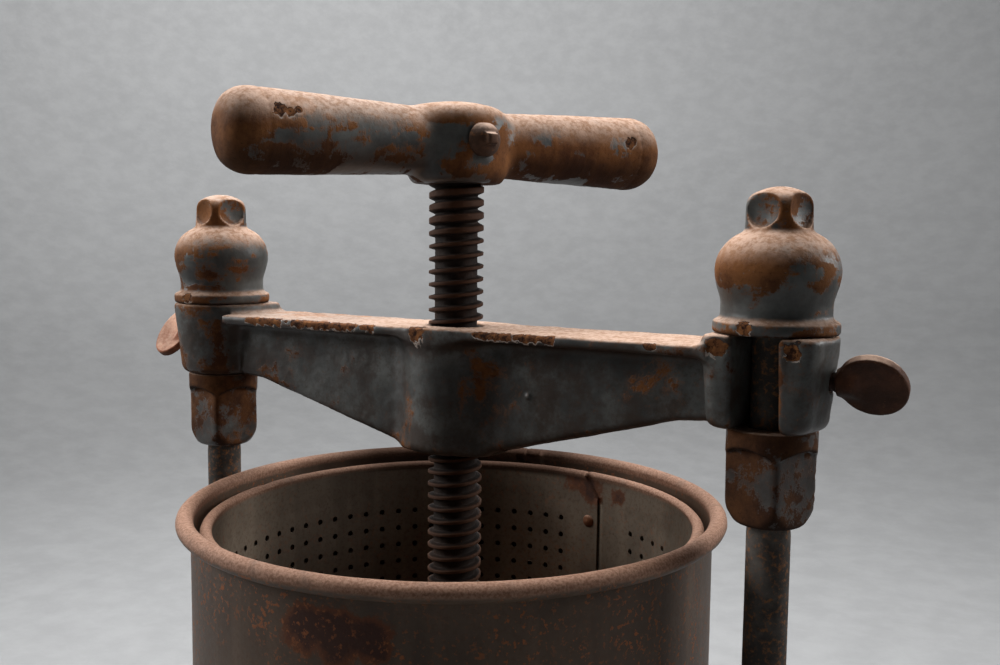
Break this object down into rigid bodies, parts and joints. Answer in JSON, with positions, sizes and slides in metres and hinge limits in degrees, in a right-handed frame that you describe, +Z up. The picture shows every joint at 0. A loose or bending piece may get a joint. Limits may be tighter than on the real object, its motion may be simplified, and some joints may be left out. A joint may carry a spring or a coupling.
{
  "type": "screw press",
  "caption": "Cast-iron screw press: a two-armed handle drives a plate down into a perforated sheet basket inside a spouted drum, under a swing-off crosshead on two rods.",
  "frame": {"origin": "on the ground under the screw's axis, at the middle of the square of foot holes", "axes": "+Z up along the screw; +X towards the right-hand rod; -Y is the side with the juice spout"},
  "size_m": [0.406, 0.3009, 0.477],
  "materials": {
    "painted_iron": "old blue-grey paint on cast iron, worn through to orange-brown rust, with dust on upward faces",
    "rusty_steel": "dark brown rust, rough and matt",
    "tinned_sheet": "tinned sheet gone brown-grey, speckled with rust"
  },
  "bodies": {
    "frame": {"base_casting": "painted_iron", "left_rod": "rusty_steel", "right_rod": "rusty_steel", "rod_upper_nuts": "rusty_steel", "rod_lower_nuts": "rusty_steel", "rod_washers": "rusty_steel", "left_collar": "painted_iron", "right_collar": "painted_iron", "left_dome_nut": "painted_iron", "right_dome_nut": "painted_iron", "drum_shell": "tinned_sheet", "drum_rim_wire": "rusty_steel", "drum_bottom": "tinned_sheet", "drum_spout": "tinned_sheet", "drum_seam_rivets": "rusty_steel", "basket_shell": "tinned_sheet", "basket_rim_wire": "rusty_steel", "basket_bottom": "tinned_sheet", "basket_seam_rivets": "rusty_steel"},
    "crosshead": {"crosshead": "painted_iron"},
    "left_stud": {"left_thumb_stud": "rusty_steel"},
    "left_head": {"left_thumb_head": "rusty_steel"},
    "right_stud": {"right_thumb_stud": "rusty_steel"},
    "right_head": {"right_thumb_head": "rusty_steel"},
    "plate": {"pressure_plate": "painted_iron"},
    "screw": {"screw": "rusty_steel", "end_washer": "rusty_steel", "end_pin": "rusty_steel", "handle": "painted_iron", "handle_pin": "rusty_steel"}
  },
  "joints": [
    {"name": "crosshead_swing", "type": "hinge", "parent": "frame", "child": "crosshead", "pos_m": [0, 0, 0.358], "axis": [0, 0, 1], "range_deg": [0, 165]},
    {"name": "plate_travel", "type": "slide", "parent": "crosshead", "child": "plate", "axis": [0, 0, 1], "range_m": [-0.0625, 0.1385]},
    {"name": "screw_turn", "type": "hinge", "parent": "plate", "child": "screw", "pos_m": [0, 0, 0.2], "axis": [0, 0, 1], "range_deg": [-3720, 8280]},
    {"name": "right_thumb_travel", "type": "slide", "parent": "crosshead", "child": "right_stud", "axis": [1, 0, 0], "range_m": [0, 0.0075]},
    {"name": "right_thumb_turn", "type": "hinge", "parent": "right_stud", "child": "right_head", "pos_m": [0.18, 0, 0.359], "axis": [1, 0, 0], "range_deg": [0, 1800]},
    {"name": "left_thumb_travel", "type": "slide", "parent": "crosshead", "child": "left_stud", "axis": [-1, 0, 0], "range_m": [0, 0.0075]},
    {"name": "left_thumb_turn", "type": "hinge", "parent": "left_stud", "child": "left_head", "pos_m": [-0.18, 0, 0.359], "axis": [-1, 0, 0], "range_deg": [0, 1800]}
  ],
  "couplings": [
    {"joint": "plate_travel", "follows": "screw_turn", "m_per_rad": 0.00095493},
    {"joint": "right_thumb_travel", "follows": "right_thumb_turn", "m_per_rad": 0.00023873},
    {"joint": "left_thumb_travel", "follows": "left_thumb_turn", "m_per_rad": 0.00023873}
  ]
}
